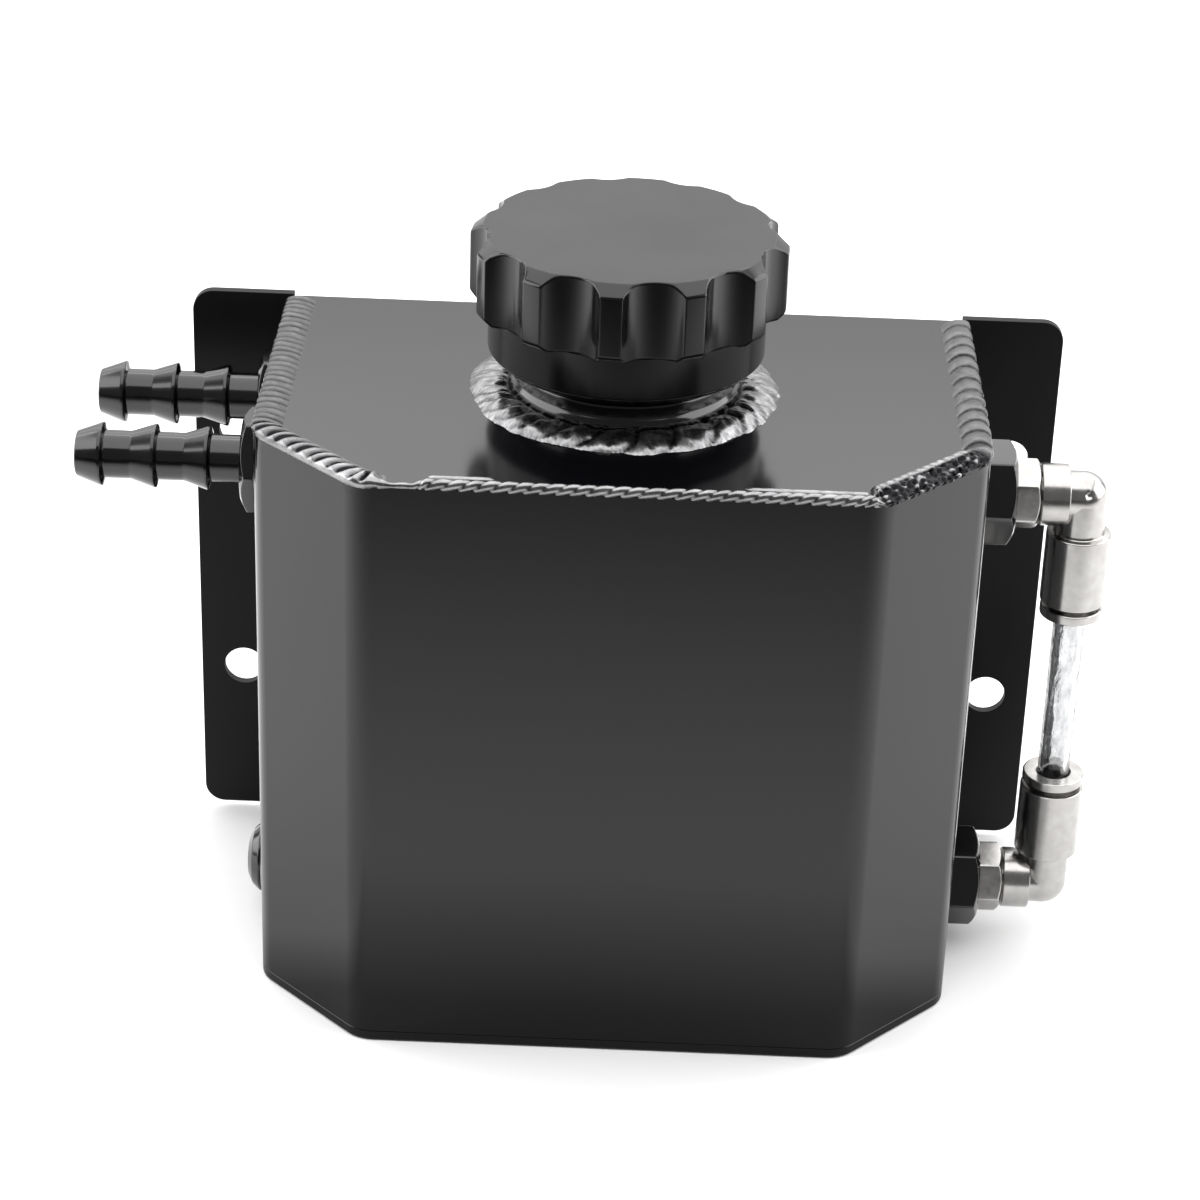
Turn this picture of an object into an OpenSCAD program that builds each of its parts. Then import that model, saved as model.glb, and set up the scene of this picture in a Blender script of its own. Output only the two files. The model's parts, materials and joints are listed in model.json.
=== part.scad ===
// Coolant expansion tank: a folded and welded sheet box with two mounting ears, a filler neck
// with a screw cap, two hose barbs, a drain plug and a side level gauge.
// X runs across the tank, Y to its back and Z up. The origin is the centre of the bottom face.

/* [Tank] */
// Width over the side walls
tank_w = 130; // [110:5:180]
// Depth, front face to back face
tank_d = 83; // [78:1:120]
// Height, bottom face to top face
tank_h = 114; // [100:2:180]
// Size of the cut across each front corner
corner_cut = 20; // [14:1:26]
// Outer radius of the sheet's bends
bend_r = 7; // [4:0.5:9]
// Thickness of the sheet
sheet_t = 2; // [1.5:0.5:3]

/* [Mounting ears] */
// Reach of each ear past the side wall
ear_reach = 18.5; // [16:0.5:30]
// Height of the ear's lower end above the bottom face
ear_foot = 1.5; // [0:0.5:10]
// Rise of the ear's upper end above the top face
ear_rise = 1; // [0:0.5:6]
// Radius of the ear's outer corners
ear_corner_r = 4; // [1:0.5:8]
// Diameter of the bolt holes
ear_hole_d = 8; // [5:0.5:9]
// Distance of the holes from the ear's outer edge
hole_edge = 8.5; // [7:0.5:9]
// Distance between the holes up the ear
hole_span_z = 52.5; // [40:0.5:70]
// Height of the lower holes
hole_low_z = 33.5; // [20:0.5:45]

/* [Weld beads] */
// Radius of the bead along the top seam
seam_bead_r = 1.9; // [1.7:0.1:2.4]
// Step back of the top plate's edge, filled by the bead
seam_step = 1; // [0.5:0.1:1.5]
// Leg of the fillet beads at the bottom and the ears
fillet_leg = 2; // [1:0.5:2]
// Width of the bead around the neck
neck_bead_w = 7.8; // [4:0.2:10]
// Height of the bead around the neck
neck_bead_h = 1.8; // [1:0.1:2.5]

/* [Filler neck] */
// Distance of the neck's axis behind the tank's centre
neck_y = 3; // [-4:0.5:8]
// Bore of the neck
neck_bore_d = 33; // [26:0.5:34]
// Outer diameter of the neck's thread
neck_thread_d = 41; // [40:0.5:43]
// Diameter of the neck's foot flange
neck_flange_d = 41.8; // [41.5:0.1:46]
// Height of the foot flange
neck_flange_h = 3; // [2:0.5:5]
// Height of the neck above the top plate
neck_h = 22; // [19:0.5:28]
// Depth of the neck below the top plate's upper face
neck_drop = 4; // [2.5:0.5:8]

/* [Cap] */
// Diameter over the cap's lands
cap_d = 57; // [55:0.5:70]
// Height of the gripped band
grip_h = 14.4; // [10:0.2:15]
// Height of the cap, skirt and grip
cap_h = 23.5; // [20:0.5:24]
// Thickness of the cap's roof
cap_roof = 7; // [5:0.2:8]
// Number of flutes
flutes = 12; // [8:1:14]
// Depth of the flutes
flute_depth = 3.3; // [2:0.1:3.4]
// Radius of the flute cutter
flute_r = 6.8; // [4:0.1:7]
// Width of the bevel around the cap's top
cap_bevel = 2.5; // [0.5:0.1:3]
// Chamfer on the cap's lower edges
cap_chamfer = 1.3; // [0.5:0.1:2]
// Thickness of the seal under the roof
cap_seal_t = 2; // [1:0.5:3]

/* [Hose barbs] */
// Distance of the barbs' axes below the top face
barb_drop = 14; // [14:1:34]
// Distance between the two barbs
barb_pitch = 28; // [24:1:31]
// Distance of the rear barb's axis before the back face
barb_back = 17; // [15:0.5:19]
// Diameter over the ridges
barb_ridge_d = 11.7; // [11:0.1:14]
// Diameter between the ridges
barb_neck_d = 8.8; // [8.4:0.1:10]
// Diameter of the barb's tip
barb_tip_d = 8.3; // [8:0.1:9]
// Distance from ridge to ridge
barb_ridge_pitch = 9.7; // [7:0.1:12]
// Number of ridges
barb_ridges = 3; // [2:1:4]
// Bore of the barb
barb_bore_d = 6; // [4:0.5:6.5]
// Width across flats of the barb's hexagon
barb_af = 17; // [16:1:19]
// Thickness of the barb's hexagon
barb_hex_t = 2.7; // [2:0.1:5]
// Diameter of the barb's threaded shank
barb_shank_d = 13; // [11:0.5:13.5]
// Thickness of the sealing washer under the hexagon
barb_washer_t = 1; // [0.5:0.1:2]

/* [Level gauge] */
// Distance of the gauge behind the tank's centre
gauge_y = 3.5; // [-8:0.5:10]
// Height of the lower fitting
gauge_low_z = 13; // [12:0.5:20]
// Distance of the upper fitting below the top face
gauge_drop = 18; // [16:1:28]
// Distance of the sight tube's axis from the side wall
gauge_reach = 20; // [19.6:0.2:24]
// Width across flats of the black hexagons
bung_af = 17; // [16:1:19]
// Length of the black hexagons
bung_len = 7.2; // [6:0.1:8]
// Width across flats of the elbow's hexagon
stem_af = 12; // [11.5:0.5:14]
// Length of the elbow's hexagon
stem_hex_len = 4.5; // [3:0.1:4.6]
// Diameter of the elbow's threaded stem
stem_thread_d = 9.7; // [8:0.1:10]
// Diameter of the elbow's collar
collar_d = 11.6; // [10:0.1:12]
// Diameter of the elbow's arm
arm_d = 9.2; // [8.4:0.1:9.6]
// Diameter of the elbow's sleeve
sleeve_d = 12; // [11.8:0.1:13]
// Length of the elbow's sleeve
sleeve_len = 14.2; // [14:0.1:18]
// Outer diameter of the sight tube
tube_d = 6; // [5.6:0.1:6.2]
// Bore of the sight tube
tube_bore_d = 4; // [3:0.1:4.4]
// Thickness of the release collet's flange
collet_flange_t = 1.9; // [1:0.1:2.5]
// Gap that the release collet travels in
collet_gap = 1; // [0.6:0.1:1.2]

/* [Drain] */
// Height of the drain
drain_z = 11; // [11:0.5:20]
// Diameter of the drain's boss
drain_boss_d = 17.6; // [16:0.2:20]
// Reach of the boss past the wall
drain_boss_h = 1.6; // [1:0.1:4]
// Diameter of the plug's head
plug_head_d = 13.6; // [12:0.2:15]
// Height of the plug's head
plug_head_h = 2.8; // [2.6:0.1:4]
// Diameter of the plug's thread
plug_thread_d = 10; // [8:0.5:10]
// Length of the plug's thread
plug_thread_len = 9; // [6:0.5:12]
// Thickness of the plug's washer
plug_washer_t = 0.6; // [0.5:0.1:1.5]

/* [Hidden] */
$fn = 96;

// Clearances and small shared sizes
thread_play = 0.08;
part_play = 0.05;
cutter_over = 1;
edge_break = 0.4;

// Tank
wall_x = tank_w / 2;
front_y = -tank_d / 2;
back_y = tank_d / 2;
panel_y = back_y - sheet_t;
half_turn_tan = tan(22.5);
bend_steps = 8;
bead_steps = 10;
side_bend = [wall_x - bend_r, front_y + corner_cut + bend_r * half_turn_tan];
front_bend = [wall_x - corner_cut - bend_r * half_turn_tan, front_y + bend_r];
plate_top_z = tank_h;
plate_low_z = tank_h - sheet_t;
hole_x = wall_x + ear_reach - hole_edge;

// Seam bead: its circle stands over the seam, in from the wall and below the top face
bead_in = 1.5;
bead_down = 0.3;
ear_weld_inset = 6;

// Neck and cap, heights above the top face
neck_wall_clear = 0.1;
neck_foot_d = neck_flange_d - 4;
neck_shank_d = neck_thread_d - 0.6;
seal_top = neck_h + cap_seal_t;
cap_top = seal_top + cap_roof;
cap_low = cap_top - cap_h;
grip_low = cap_top - grip_h;
cap_bevel_drop = 0.72 * cap_bevel;
cap_clocking = -5.5;
flute_gap_angle = 360 / flutes;
skirt_r = cap_d / 2 - flute_depth - 0.2;
cap_bore_d = neck_thread_d + 2 * thread_play;
seal_outer_d = cap_bore_d - 0.6;
seal_inner_d = neck_bore_d - 3;
thread_start = neck_flange_h + 3;
neck_bead_crest = 0.41 * neck_bead_w;

// Hose barbs, lengths measured outward from the side wall
barb_z = tank_h - barb_drop;
barb_y = back_y - barb_back - barb_pitch / 2;
barb_hex_end = barb_washer_t + barb_hex_t;
barb_root = 5.8;
barb_rise = 4.9;
barb_tip_rise = 5.2;
barb_end = barb_hex_end + barb_root + (barb_ridges - 1) * barb_ridge_pitch + barb_tip_rise;
barb_bung_d = 20;
barb_bung_len = 8;
barb_clocking = 33.5;
hex_chamfer = 1.1;

// Gauge, lengths measured outward from the side wall and from an elbow's axis to the other
gauge_high_z = tank_h - gauge_drop;
stem_hex_end = bung_len + stem_hex_len;
swivel_gap = 0.3;
collar_start = stem_hex_end + swivel_gap;
collar_end = gauge_reach - 2.8;
ball_d = arm_d + 0.2;
sleeve_start = 7.3;
sleeve_end = sleeve_start + sleeve_len;
passage_d = 4;
turn_bore_d = passage_d + 0.4;
turn_overrun = 1.2;
spigot_d = 15;
spigot_in = 5;
stem_thread_len = 8;
swivel_d = 6.8;
swivel_len = 5.6;
swivel_seal_at = 1.9;
swivel_seal_w = 1.4;
swivel_groove = 0.8;
face_seal_w = 1.1;
face_seal_t = 1.3;
tube_stop = 8;
tube_end_play = 0.2;
cartridge_d = sleeve_d - 2.2;
seal_seat = tube_stop + 3.5;
tube_seal_w = 2;
spacer_t = 0.8;
grab_seat = seal_seat + tube_seal_w + spacer_t;
grab_t = 0.3;
grab_lean = 0.4;
grab_land = 0.85;
insert_wall = (cartridge_d - tube_d) / 2 - 1;
collet_tip = grab_seat + grab_t + grab_lean + collet_gap;
collet_flange_low = sleeve_end + collet_gap;
collet_end = collet_flange_low + collet_flange_t;
collet_bore_d = tube_d + 2 * part_play;
collet_barrel_d = cartridge_d - 2 * insert_wall - 2 * thread_play;
lower_bung_clocking = -22;
upper_bung_clocking = 26;
lower_stem_clocking = -18;
upper_stem_clocking = 5;

// Drain, lengths measured outward from the side wall
plug_seat = drain_boss_h + plug_washer_t;
drain_bung_in = 7;
drain_spigot_d = 13.6;
plug_socket_af = 5;
plug_socket_deep = 2;
plug_face_d = 7.2;
plug_shoulder_d = 11;
plug_rim_h = 0.5;
plug_shoulder_h = 1.9;

// Colours
coat = "#2c2c2e";
bead_coat = "#4a4a4c";
gloss = "#151516";
nickel = "#c9c4ba";
seal_black = "#1d1d1d";
steel = "#b9babc";
clear = [0.85, 0.9, 0.92, 0.45];

// Stations round the four front bends: a point of the outer face and its outward direction
function bend_stations(centre, start) = [
  for (i = [0:bend_steps])
    let (a = start + 45 * i / bend_steps, out = [cos(a), sin(a)])
    [centre + bend_r * out, out]
];

front_stations = concat(
  bend_stations([-side_bend.x, side_bend.y], 180),
  bend_stations([-front_bend.x, front_bend.y], 225),
  bend_stations(front_bend, 270),
  bend_stations(side_bend, 315)
);

// All stations from the left wall's back end round to the right wall's
function stations(back, back_out) = concat(
  [[[-wall_x, back], [-1, back_out]]],
  front_stations,
  [[[wall_x, back], [1, back_out]]]
);

// Plan of the tank, drawn in from its side and front faces
module plan(inset, back) {
  polygon([for (s = stations(back, 0)) s[0] - inset * s[1]]);
}

// Sweeps a section, drawn outward and upward from the outer face, from station to station
module sweep(path, section, closed) {
  n = len(section);
  rings = len(path);
  last = closed ? rings - 1 : rings - 2;
  polyhedron(
    points = [for (s = path, p = section) [s[0].x + p.x * s[1].x, s[0].y + p.x * s[1].y, p.y]],
    faces = concat(
      [for (i = [0:last], j = [0:n - 1]) [
        i * n + j,
        i * n + (j + 1) % n,
        ((i + 1) % rings) * n + (j + 1) % n,
        ((i + 1) % rings) * n + j
      ]],
      closed ? [] : [
        [for (j = [n - 1:-1:0]) j],
        [for (j = [0:n - 1]) (rings - 1) * n + j]
      ]
    )
  );
}

module body_wrap() {
  color(coat) translate([0, 0, sheet_t]) difference() {
    linear_extrude(tank_h - 2 * sheet_t) difference() {
      plan(0, panel_y);
      plan(sheet_t, back_y);
    }
    for (s = [-1, 1]) {
      at_left(barb_y + s * barb_pitch / 2, barb_z - sheet_t) wall_hole(barb_shank_d);
    }
    at_left(gauge_y, drain_z - sheet_t) wall_hole(drain_spigot_d);
    for (z = [gauge_low_z, gauge_high_z]) {
      at_right(gauge_y, z - sheet_t) wall_hole(spigot_d);
    }
  }
}

module wall_hole(d) {
  translate([0, 0, -sheet_t - cutter_over])
    cylinder(d = d + 2 * part_play, h = sheet_t + 2 * cutter_over);
}

// Places a fitting's outward axis on the left or the right wall
module at_left(y, z) {
  translate([-wall_x, y, z]) rotate([0, -90, 0]) children();
}

module at_right(y, z) {
  translate([wall_x, y, z]) rotate([0, 90, 0]) children();
}

module ear_outline() {
  low = ear_foot;
  high = tank_h + ear_rise;
  outer = wall_x + ear_reach;
  r = ear_corner_r;
  translate([wall_x, low]) square([ear_reach - r, high - low]);
  translate([wall_x, low + r]) square([ear_reach, high - low - 2 * r]);
  translate([wall_x - seam_step, plate_low_z]) square([seam_step, high - plate_low_z]);
  for (z = [low + r, high - r]) translate([outer - r, z]) circle(r);
}

module back_panel() {
  color(coat) translate([0, back_y, 0]) rotate([90, 0, 0]) linear_extrude(sheet_t) difference() {
    union() {
      translate([-wall_x, sheet_t]) square([tank_w, tank_h - 2 * sheet_t]);
      for (s = [0, 1]) mirror([s, 0]) ear_outline();
    }
    for (x = [-1, 1], z = [0, 1]) {
      translate([x * hole_x, hole_low_z + z * hole_span_z]) circle(d = ear_hole_d);
    }
  }
}

module top_plate() {
  color(coat) translate([0, 0, plate_low_z]) linear_extrude(sheet_t) difference() {
    plan(seam_step, back_y);
    translate([0, neck_y]) circle(d = neck_foot_d + 2 * neck_wall_clear);
  }
}

module bottom_plate() {
  color(coat) linear_extrude(sheet_t) plan(0, back_y);
}

// Section of the top bead: a round laid over the seam, cut back to the plate and the wall
function seam_section() =
  let (
    on_plate = 180 - asin(bead_down / seam_bead_r),
    on_wall = -acos(bead_in / seam_bead_r)
  )
  concat(
    [[0, -sheet_t], [-seam_step, -sheet_t], [-seam_step, 0]],
    [for (i = [0:bead_steps])
      let (a = on_plate + (on_wall - on_plate) * i / bead_steps)
      [seam_bead_r * cos(a) - bead_in, seam_bead_r * sin(a) - bead_down]]
  );

module top_seam_weld() {
  color(bead_coat) translate([0, 0, plate_top_z])
    sweep(stations(panel_y, 0), seam_section(), false);
}

// Section of the fillet bead inside the bottom corner
function bottom_section(leg) = concat(
  [[-sheet_t, sheet_t]],
  [for (i = [0:bead_steps])
    let (a = 180 - 90 * i / bead_steps)
    [leg * cos(a) - sheet_t, leg * sin(a) + sheet_t]]
);

module bottom_seam_weld() {
  leg = min(fillet_leg, bend_r - sheet_t - edge_break);
  color(bead_coat) sweep(stations(back_y, 1), bottom_section(leg), true);
}

module ear_weld() {
  color(bead_coat) translate([wall_x, panel_y, ear_weld_inset])
    linear_extrude(tank_h - 2 * ear_weld_inset) intersection() {
      circle(fillet_leg);
      translate([0, -fillet_leg]) square(fillet_leg);
    }
}

module left_ear_weld() { mirror([1, 0, 0]) ear_weld(); }
module right_ear_weld() { ear_weld(); }

module at_neck() {
  translate([0, neck_y, plate_top_z]) children();
}

module neck_weld() {
  inner = neck_flange_d / 2;
  half = neck_bead_w - neck_bead_crest;
  r = (half * half + neck_bead_h * neck_bead_h) / (2 * neck_bead_h);
  color(bead_coat) at_neck() rotate_extrude() difference() {
    translate([inner + neck_bead_crest, neck_bead_h - r]) circle(r);
    translate([-2 * r, -2 * r]) square([inner + 2 * r, 4 * r]);
    translate([-2 * r, -4 * r]) square([inner + 6 * r, 4 * r]);
  }
}

module filler_neck() {
  color(gloss) at_neck() rotate_extrude() polygon([
    [neck_bore_d / 2, -neck_drop],
    [neck_foot_d / 2, -neck_drop],
    [neck_foot_d / 2, 0],
    [neck_flange_d / 2, 0],
    [neck_flange_d / 2, neck_flange_h - edge_break],
    [neck_flange_d / 2 - edge_break, neck_flange_h],
    [neck_shank_d / 2, neck_flange_h],
    [neck_shank_d / 2, thread_start],
    [neck_thread_d / 2, thread_start + edge_break],
    [neck_thread_d / 2, neck_h - edge_break],
    [neck_thread_d / 2 - edge_break, neck_h],
    [neck_bore_d / 2, neck_h]
  ]);
}

module cap() {
  grip_r = cap_d / 2;
  bore_r = cap_bore_d / 2;
  color(gloss) at_neck() rotate([0, 0, cap_clocking - 90]) difference() {
    rotate_extrude() polygon([
      [0, seal_top],
      [bore_r, seal_top],
      [bore_r, cap_low],
      [skirt_r - cap_chamfer, cap_low],
      [skirt_r, cap_low + cap_chamfer],
      [skirt_r, grip_low],
      [grip_r - cap_chamfer, grip_low],
      [grip_r, grip_low + cap_chamfer],
      [grip_r, cap_top - cap_bevel_drop],
      [grip_r - cap_bevel, cap_top],
      [0, cap_top]
    ]);
    for (i = [0:flutes - 1]) {
      rotate([0, 0, (i + 0.5) * flute_gap_angle])
        translate([grip_r - flute_depth + flute_r, 0, grip_low - cutter_over])
        cylinder(r = flute_r, h = grip_h + 2 * cutter_over);
    }
  }
}

module cap_seal() {
  color(seal_black) at_neck() translate([0, 0, neck_h]) linear_extrude(cap_seal_t) difference() {
    circle(d = seal_outer_d);
    circle(d = seal_inner_d);
  }
}

// A hexagon standing on z = 0, with the corners of its outer end turned off
module hexagon(af, h) {
  across_corners = af / cos(30);
  intersection() {
    cylinder(d = across_corners, h = h, $fn = 6);
    rotate_extrude() polygon([
      [0, 0],
      [across_corners, 0],
      [across_corners, h - (across_corners - af / 2 + hex_chamfer / 2) * tan(30)],
      [af / 2 - hex_chamfer / 2, h],
      [0, h]
    ]);
  }
}

module ring(inner_d, outer_d, h) {
  linear_extrude(h) difference() {
    circle(d = outer_d);
    circle(d = inner_d);
  }
}

// A round seal squeezed between two walls: its section is a circle with two flats
module squeezed_ring(inner_d, outer_d, h) {
  gap = (outer_d - inner_d) / 2;
  rotate_extrude() intersection() {
    translate([(inner_d + outer_d) / 4, h / 2]) circle(h / 2);
    translate([inner_d / 2, 0]) square([gap, h]);
  }
}

// Ridges rise towards the tank and drop to the neck behind each crest
module barb_profile() {
  ridge = barb_ridge_d / 2;
  neck = barb_neck_d / 2;
  first = barb_hex_end + barb_root;
  last = first + (barb_ridges - 1) * barb_ridge_pitch;
  polygon(concat(
    [[0, barb_hex_end], [neck, barb_hex_end]],
    [for (i = [0:barb_ridges - 1]) each [
      [neck, first + i * barb_ridge_pitch],
      [ridge, first + i * barb_ridge_pitch + edge_break],
      if (i < barb_ridges - 1) [neck, first + i * barb_ridge_pitch + barb_rise]
    ]],
    [[barb_tip_d / 2, barb_end], [0, barb_end]]
  ));
}

module barb() {
  color(gloss) difference() {
    union() {
      rotate_extrude() barb_profile();
      translate([0, 0, barb_washer_t]) rotate([0, 0, barb_clocking]) hexagon(barb_af, barb_hex_t);
      translate([0, 0, -sheet_t - barb_bung_len])
        cylinder(d = barb_shank_d, h = sheet_t + barb_bung_len + barb_washer_t);
    }
    translate([0, 0, -sheet_t - barb_bung_len - cutter_over])
      cylinder(d = barb_bore_d, h = barb_end + sheet_t + barb_bung_len + 2 * cutter_over);
  }
}

module barb_bung() {
  color(coat) translate([0, 0, -sheet_t - barb_bung_len])
    ring(barb_shank_d + 2 * part_play, barb_bung_d, barb_bung_len);
}

module barb_washer() {
  color(steel) ring(barb_shank_d + 2 * part_play, barb_af - 0.6, barb_washer_t);
}

module at_front_barb() { at_left(barb_y - barb_pitch / 2, barb_z) children(); }
module at_rear_barb() { at_left(barb_y + barb_pitch / 2, barb_z) children(); }
module front_barb() { at_front_barb() barb(); }
module rear_barb() { at_rear_barb() barb(); }
module front_barb_bung() { at_front_barb() barb_bung(); }
module rear_barb_bung() { at_rear_barb() barb_bung(); }
module front_barb_washer() { at_front_barb() barb_washer(); }
module rear_barb_washer() { at_rear_barb() barb_washer(); }

module at_drain() { at_left(gauge_y, drain_z) children(); }

module drain_bung() {
  color(coat) at_drain() difference() {
    union() {
      cylinder(d = drain_boss_d, h = drain_boss_h);
      translate([0, 0, -drain_bung_in]) cylinder(d = drain_spigot_d, h = drain_bung_in);
    }
    translate([0, 0, -drain_bung_in - cutter_over])
      cylinder(d = plug_thread_d + 2 * thread_play,
               h = drain_bung_in + drain_boss_h + 2 * cutter_over);
  }
}

module drain_plug() {
  head_r = plug_head_d / 2;
  color(gloss) at_drain() difference() {
    union() {
      translate([0, 0, plug_seat - plug_thread_len])
        cylinder(d = plug_thread_d, h = plug_thread_len);
      translate([0, 0, plug_seat]) rotate_extrude() polygon([
        [0, 0],
        [head_r, 0],
        [head_r, plug_rim_h],
        [plug_shoulder_d / 2, plug_shoulder_h],
        [plug_face_d / 2, plug_head_h],
        [0, plug_head_h]
      ]);
    }
    translate([0, 0, plug_seat + plug_head_h - plug_socket_deep])
      cylinder(d = plug_socket_af / cos(30), h = plug_socket_deep + cutter_over, $fn = 6);
  }
}

module drain_washer() {
  color(steel) at_drain() translate([0, 0, drain_boss_h])
    ring(plug_thread_d + 2 * thread_play, plug_head_d, plug_washer_t);
}

// Gauge pieces are drawn with x outward from the side wall, z towards the other fitting
module at_lower() { translate([wall_x, gauge_y, gauge_low_z]) children(); }
module at_upper() { translate([wall_x, gauge_y, gauge_high_z]) mirror([0, 0, 1]) children(); }
module outward(x) { translate([x, 0, 0]) rotate([0, 90, 0]) children(); }
module along(z) { translate([gauge_reach, 0, z]) children(); }

module gauge_bung(clocking) {
  seat_d = stem_thread_d + 2 * face_seal_w + 4 * part_play;
  color(gloss) difference() {
    union() {
      outward(0) rotate([0, 0, clocking]) hexagon(bung_af, bung_len);
      outward(-spigot_in) cylinder(d = spigot_d, h = spigot_in);
    }
    outward(-spigot_in - cutter_over)
      cylinder(d = stem_thread_d + 2 * part_play, h = spigot_in + bung_len + 2 * cutter_over);
    outward(bung_len - face_seal_t) cylinder(d = seat_d, h = face_seal_t + cutter_over);
  }
}

module stem(clocking) {
  groove_d = swivel_d - 2 * swivel_groove;
  color(nickel) difference() {
    union() {
      outward(bung_len) rotate([0, 0, clocking]) hexagon(stem_af, stem_hex_len);
      outward(bung_len - stem_thread_len) cylinder(d = stem_thread_d, h = stem_thread_len);
      outward(stem_hex_end) cylinder(d = groove_d, h = swivel_len);
      outward(stem_hex_end) cylinder(d = swivel_d, h = swivel_seal_at);
      outward(stem_hex_end + swivel_seal_at + swivel_seal_w)
        cylinder(d = swivel_d, h = swivel_len - swivel_seal_at - swivel_seal_w);
    }
    outward(bung_len - stem_thread_len - cutter_over)
      cylinder(d = passage_d, h = stem_thread_len + stem_hex_len + swivel_len + 2 * cutter_over);
  }
}

module face_seal() {
  inner = stem_thread_d + 2 * part_play;
  color(seal_black) outward(bung_len - face_seal_t)
    squeezed_ring(inner, inner + 2 * face_seal_w, face_seal_t);
}

module swivel_seal() {
  color(seal_black) outward(stem_hex_end + swivel_seal_at)
    squeezed_ring(swivel_d - 2 * swivel_groove, swivel_d + 2 * part_play, swivel_seal_w);
}

module chamfered_rod(d, h) {
  r = d / 2;
  rotate_extrude() polygon([
    [0, 0],
    [r - edge_break, 0],
    [r, edge_break],
    [r, h - edge_break],
    [r - edge_break, h],
    [0, h]
  ]);
}

module elbow() {
  color(nickel) difference() {
    union() {
      outward(collar_start) chamfered_rod(collar_d, collar_end - collar_start);
      outward(collar_start + edge_break) cylinder(d = arm_d, h = gauge_reach - collar_start - edge_break);
      along(0) sphere(d = ball_d);
      along(0) cylinder(d = arm_d, h = sleeve_start + edge_break);
      along(sleeve_start) chamfered_rod(sleeve_d, sleeve_len);
    }
    outward(collar_start - cutter_over)
      cylinder(d = swivel_d + 2 * part_play, h = swivel_len - swivel_gap + cutter_over + part_play);
    outward(collar_start) cylinder(d = passage_d, h = gauge_reach - collar_start + turn_overrun);
    along(-turn_overrun) cylinder(d = turn_bore_d, h = sleeve_end);
    along(tube_stop) cylinder(d = tube_d + 2 * part_play, h = sleeve_end);
    along(seal_seat) cylinder(d = cartridge_d, h = sleeve_end);
  }
}

module tube_seal() {
  color(seal_black) along(seal_seat) squeezed_ring(tube_d, cartridge_d, tube_seal_w);
}

// Spring washer whose inner teeth lean outward along the tube
module grab_ring() {
  outer = cartridge_d / 2;
  inner = tube_d / 2 + part_play;
  color(steel) along(grab_seat) rotate_extrude() polygon([
    [outer, 0],
    [outer, grab_t],
    [outer - grab_land, grab_t],
    [inner, grab_t + grab_lean],
    [inner, grab_lean],
    [outer - grab_land, 0]
  ]);
}

// Backs the tube seal and seats the grab ring
module spacer() {
  color(nickel) along(seal_seat + tube_seal_w)
    ring(tube_d + 4 * part_play, cartridge_d, spacer_t);
}

// Press-fitted guide that holds the grab ring and carries the collet
module insert() {
  low = grab_seat + grab_t;
  color(nickel) along(low)
    ring(cartridge_d - 2 * insert_wall, cartridge_d, sleeve_end - low);
}

module collet() {
  flange_r = sleeve_d / 2 - edge_break / 2;
  color(nickel) along(0) rotate_extrude() polygon([
    [collet_bore_d / 2, collet_tip],
    [collet_barrel_d / 2, collet_tip],
    [collet_barrel_d / 2, collet_flange_low],
    [flange_r, collet_flange_low],
    [flange_r, collet_end - edge_break],
    [flange_r - edge_break, collet_end],
    [collet_bore_d / 2, collet_end]
  ]);
}

module lower_gauge_bung() { at_lower() gauge_bung(lower_bung_clocking); }
module upper_gauge_bung() { at_upper() gauge_bung(upper_bung_clocking); }
module lower_stem() { at_lower() stem(lower_stem_clocking); }
module upper_stem() { at_upper() stem(upper_stem_clocking); }
module lower_face_seal() { at_lower() face_seal(); }
module upper_face_seal() { at_upper() face_seal(); }
module lower_swivel_seal() { at_lower() swivel_seal(); }
module upper_swivel_seal() { at_upper() swivel_seal(); }
module lower_elbow() { at_lower() elbow(); }
module upper_elbow() { at_upper() elbow(); }
module lower_tube_seal() { at_lower() tube_seal(); }
module upper_tube_seal() { at_upper() tube_seal(); }
module lower_spacer() { at_lower() spacer(); }
module upper_spacer() { at_upper() spacer(); }
module lower_grab_ring() { at_lower() grab_ring(); }
module upper_grab_ring() { at_upper() grab_ring(); }
module lower_insert() { at_lower() insert(); }
module upper_insert() { at_upper() insert(); }
module lower_collet() { at_lower() collet(); }
module upper_collet() { at_upper() collet(); }

module sight_tube() {
  low = tube_stop + tube_end_play;
  color(clear) at_lower() along(low)
    ring(tube_bore_d, tube_d, gauge_high_z - gauge_low_z - 2 * low);
}

body_wrap();
back_panel();
top_plate();
bottom_plate();
top_seam_weld();
bottom_seam_weld();
left_ear_weld();
right_ear_weld();
neck_weld();
filler_neck();
cap();
cap_seal();
front_barb();
rear_barb();
front_barb_bung();
rear_barb_bung();
front_barb_washer();
rear_barb_washer();
drain_bung();
drain_plug();
drain_washer();
lower_gauge_bung();
upper_gauge_bung();
lower_stem();
upper_stem();
lower_face_seal();
upper_face_seal();
lower_swivel_seal();
upper_swivel_seal();
lower_elbow();
upper_elbow();
lower_tube_seal();
upper_tube_seal();
lower_spacer();
upper_spacer();
lower_grab_ring();
upper_grab_ring();
lower_insert();
upper_insert();
lower_collet();
upper_collet();
sight_tube();
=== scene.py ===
"""Coolant expansion tank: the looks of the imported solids, in millimetres until a mesh is made."""

import json
import math
import random

import bmesh
import bpy
import numpy as np
from mathutils import Matrix, Vector, noise

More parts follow.
